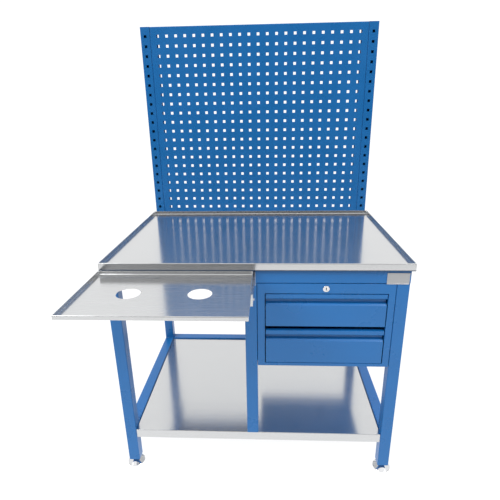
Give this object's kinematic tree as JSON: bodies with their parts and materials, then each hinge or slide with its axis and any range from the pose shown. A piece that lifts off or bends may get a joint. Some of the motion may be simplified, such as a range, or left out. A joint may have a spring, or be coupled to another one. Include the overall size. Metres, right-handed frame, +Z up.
{
  "type": "jewelers bench",
  "caption": "Steel workbench for jewellery with a stainless worktop, a pull-out tray, a cabinet of drawers, a lower shelf and a perforated tool panel at the back.",
  "frame": {"origin": "on the floor, in the middle of the bench's outline with the tray pulled out", "axes": "+X to the right, +Y to the back towards the tool panel, +Z up"},
  "size_m": [1.003, 1.03, 1.613],
  "materials": {
    "blue_powder_coat": "semi-gloss powder coat",
    "dark_blue_paint": "satin paint",
    "brushed_stainless": "fine brushed",
    "zinc_slides": "bright zinc plated",
    "zinc_fasteners": "zinc plated",
    "polished_steel": "polished",
    "plate_aluminium": "satin anodised",
    "blue_plastic": "moulded",
    "board_core": "raw chipboard"
  },
  "bodies": {
    "bench": {"back_left_leg": "blue_powder_coat", "back_right_leg": "blue_powder_coat", "back_riser": "blue_powder_coat", "cabinet_and_upright_bolts": "zinc_fasteners", "cabinet_back": "blue_powder_coat", "cabinet_face_frame": "blue_powder_coat", "cabinet_shell": "blue_powder_coat", "cabinet_slide_spacers": "blue_powder_coat", "foot_lock_nuts": "zinc_fasteners", "front_left_leg": "blue_powder_coat", "front_right_leg": "blue_powder_coat", "front_riser": "blue_powder_coat", "left_riser": "blue_powder_coat", "left_slide_carrier": "blue_powder_coat", "left_upright": "blue_powder_coat", "leg_plugs": "blue_plastic", "lock_body": "polished_steel", "lock_nut": "zinc_fasteners", "lower_back_rail": "blue_powder_coat", "lower_drawer_slide_outers": "zinc_slides", "lower_front_rail": "blue_powder_coat", "lower_side_rails": "blue_powder_coat", "middle_post": "blue_powder_coat", "name_plate": "plate_aluminium", "perforated_panel": "blue_powder_coat", "right_riser": "blue_powder_coat", "right_slide_carrier": "blue_powder_coat", "right_upright": "blue_powder_coat", "shelf_bearers": "blue_powder_coat", "shelf_pan": "brushed_stainless", "small_screws": "zinc_fasteners", "tray_slide_outers": "zinc_slides", "upper_back_rail": "blue_powder_coat", "upper_drawer_slide_outers": "zinc_slides", "upper_left_rail": "blue_powder_coat", "upper_middle_rail": "blue_powder_coat", "upper_right_rail": "blue_powder_coat", "upright_caps": "blue_plastic", "worktop_base_plate": "dark_blue_paint", "worktop_clips": "zinc_fasteners", "worktop_core": "board_core", "worktop_skin": "brushed_stainless"},
    "tray": {"tray_deck": "brushed_stainless", "tray_brackets": "blue_powder_coat", "tray_slide_inners": "zinc_slides"},
    "tray_slide_middle": {"tray_slide_middles": "zinc_slides"},
    "upper_drawer": {"upper_drawer_front": "blue_powder_coat", "upper_drawer_box": "blue_powder_coat", "upper_drawer_slide_inners": "zinc_slides"},
    "upper_slide_middle": {"upper_drawer_slide_middles": "zinc_slides"},
    "lower_drawer": {"lower_drawer_front": "blue_powder_coat", "lower_drawer_box": "blue_powder_coat", "lower_drawer_slide_inners": "zinc_slides"},
    "lower_slide_middle": {"lower_drawer_slide_middles": "zinc_slides"},
    "lock_cylinder": {"lock_barrel": "polished_steel", "lock_cam": "zinc_fasteners"},
    "foot_fl": {"foot_front_left": "polished_steel"},
    "foot_fr": {"foot_front_right": "polished_steel"},
    "foot_bl": {"foot_back_left": "polished_steel"},
    "foot_br": {"foot_back_right": "polished_steel"}
  },
  "joints": [
    {"name": "tray_slide", "type": "slide", "parent": "bench", "child": "tray", "axis": [0, -1, 0], "range_m": [-0.3, 0]},
    {"name": "tray_middle_slide", "type": "slide", "parent": "bench", "child": "tray_slide_middle", "axis": [0, -1, 0], "range_m": [-0.15, 0]},
    {"name": "upper_drawer_slide", "type": "slide", "parent": "bench", "child": "upper_drawer", "axis": [0, -1, 0], "range_m": [0, 0.45]},
    {"name": "upper_middle_slide", "type": "slide", "parent": "bench", "child": "upper_slide_middle", "axis": [0, -1, 0], "range_m": [0, 0.225]},
    {"name": "lower_drawer_slide", "type": "slide", "parent": "bench", "child": "lower_drawer", "axis": [0, -1, 0], "range_m": [0, 0.45]},
    {"name": "lower_middle_slide", "type": "slide", "parent": "bench", "child": "lower_slide_middle", "axis": [0, -1, 0], "range_m": [0, 0.225]},
    {"name": "lock_turn", "type": "hinge", "parent": "bench", "child": "lock_cylinder", "pos_m": [0.228, -0.205, 0.74225], "axis": [0, 1, 0], "range_deg": [0, 90]},
    {"name": "foot_fl_turn", "type": "hinge", "parent": "bench", "child": "foot_fl", "pos_m": [-0.47, -0.185, 0], "axis": [0, 0, 1], "continuous": true},
    {"name": "foot_fr_turn", "type": "hinge", "parent": "bench", "child": "foot_fr", "pos_m": [0.47, -0.185, 0], "axis": [0, 0, 1], "continuous": true},
    {"name": "foot_bl_turn", "type": "hinge", "parent": "bench", "child": "foot_bl", "pos_m": [-0.47, 0.455, 0], "axis": [0, 0, 1], "continuous": true},
    {"name": "foot_br_turn", "type": "hinge", "parent": "bench", "child": "foot_br", "pos_m": [0.47, 0.455, 0], "axis": [0, 0, 1], "continuous": true}
  ],
  "couplings": [
    {"joint": "tray_middle_slide", "follows": "tray_slide", "ratio": 0.5},
    {"joint": "upper_middle_slide", "follows": "upper_drawer_slide", "ratio": 0.5},
    {"joint": "lower_middle_slide", "follows": "lower_drawer_slide", "ratio": 0.5}
  ]
}
